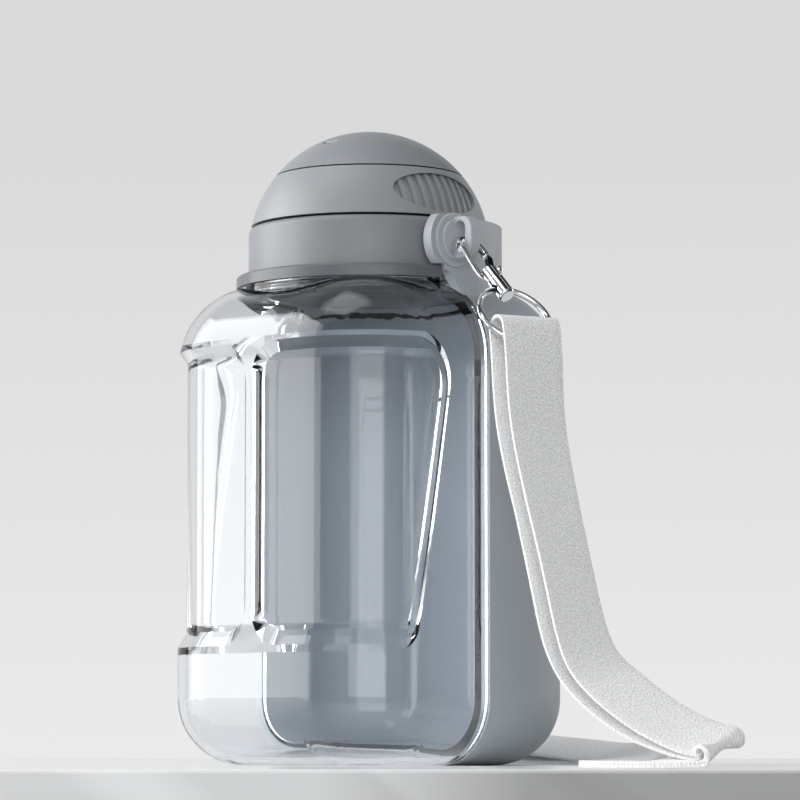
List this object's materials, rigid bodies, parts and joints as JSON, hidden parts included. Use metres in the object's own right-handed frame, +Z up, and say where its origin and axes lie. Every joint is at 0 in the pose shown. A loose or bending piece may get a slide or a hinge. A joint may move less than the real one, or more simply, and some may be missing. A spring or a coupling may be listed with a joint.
{
  "type": "pet travel bottle",
  "caption": "Clear square pet travel bottle with a grey slide-off bowl shell, a screw lid with a domed flip cover, and a webbing wrist strap on a snap hook.",
  "frame": {"origin": "on the table under the axis of the lid, at the middle of the base", "axes": "+Z up along the lid axis, clear front half towards -Y, grey bowl shell towards +Y, strap ear and thumb grip towards +X"},
  "size_m": [0.2325, 0.1438, 0.2027],
  "materials": {
    "clear_plastic": "clear, polished",
    "grey_plastic": "fine satin",
    "cap_plastic": "fine satin",
    "shell_plastic": "fine satin",
    "deck_plastic": "smooth",
    "silicone": "soft matte",
    "chrome_metal": "mirror plated",
    "steel_pin": "plain",
    "webbing": "flat weave"
  },
  "bodies": {
    "bottle": {"bottle_body": "clear_plastic", "neck_bezel": "grey_plastic"},
    "shell": {"bowl_shell": "shell_plastic", "strap_loop": "shell_plastic"},
    "lid_seal": {"lid_gasket": "silicone"},
    "lid": {"lid_collar": "grey_plastic", "lid_insert": "deck_plastic", "vent_plug": "silicone", "hinge_pin": "steel_pin"},
    "cover": {"dome_band": "grey_plastic", "dome_cap": "cap_plastic", "dome_liner": "deck_plastic", "spout_plug": "silicone"},
    "hook": {"hook_frame": "chrome_metal", "gate_pin": "steel_pin"},
    "gate": {"hook_gate": "chrome_metal", "gate_knob": "chrome_metal"},
    "swivel": {"swivel_barrel": "chrome_metal", "swivel_rivet": "steel_pin"},
    "ring": {"lanyard_ring": "chrome_metal", "strap_webbing": "webbing"}
  },
  "joints": [
    {"name": "shell_release", "type": "slide", "parent": "bottle", "child": "shell", "axis": [0, 1, 0], "range_m": [0, 0.056]},
    {"name": "lid_rise", "type": "slide", "parent": "bottle", "child": "lid_seal", "axis": [0, 0, 1], "range_m": [0, 0.006]},
    {"name": "lid_turn", "type": "hinge", "parent": "lid_seal", "child": "lid", "pos_m": [0, 0, 0.163], "axis": [0, 0, 1], "range_deg": [0, 540]},
    {"name": "cover_flip", "type": "hinge", "parent": "lid", "child": "cover", "pos_m": [-0.0402, 0.00281, 0.1744], "axis": [-0.0698, -0.9976, 0], "range_deg": [0, 150]},
    {"name": "hook_swing", "type": "hinge", "parent": "shell", "child": "hook", "pos_m": [0.04715, -0.0052, 0.163], "axis": [0, -1, 0], "range_deg": [0, 20]},
    {"name": "gate_open", "type": "hinge", "parent": "hook", "child": "gate", "pos_m": [0.058, -0.0043, 0.15165], "axis": [0.723, 0, 0.6909], "range_deg": [0, 20], "stiffness_Nm_per_rad": 0.02, "springref_deg": -11.46},
    {"name": "swivel_turn", "type": "hinge", "parent": "hook", "child": "swivel", "pos_m": [0.06031, -0.0052, 0.14923], "axis": [0.6909, 0, -0.723], "range_deg": [-5, 5]},
    {"name": "ring_swing", "type": "hinge", "parent": "swivel", "child": "ring", "pos_m": [0.06311, -0.0052, 0.1463], "axis": [-0.2924, -0.9563, 0], "range_deg": [0, 8]}
  ],
  "couplings": [
    {"joint": "lid_rise", "follows": "lid_turn", "m_per_rad": 0.00063662}
  ]
}
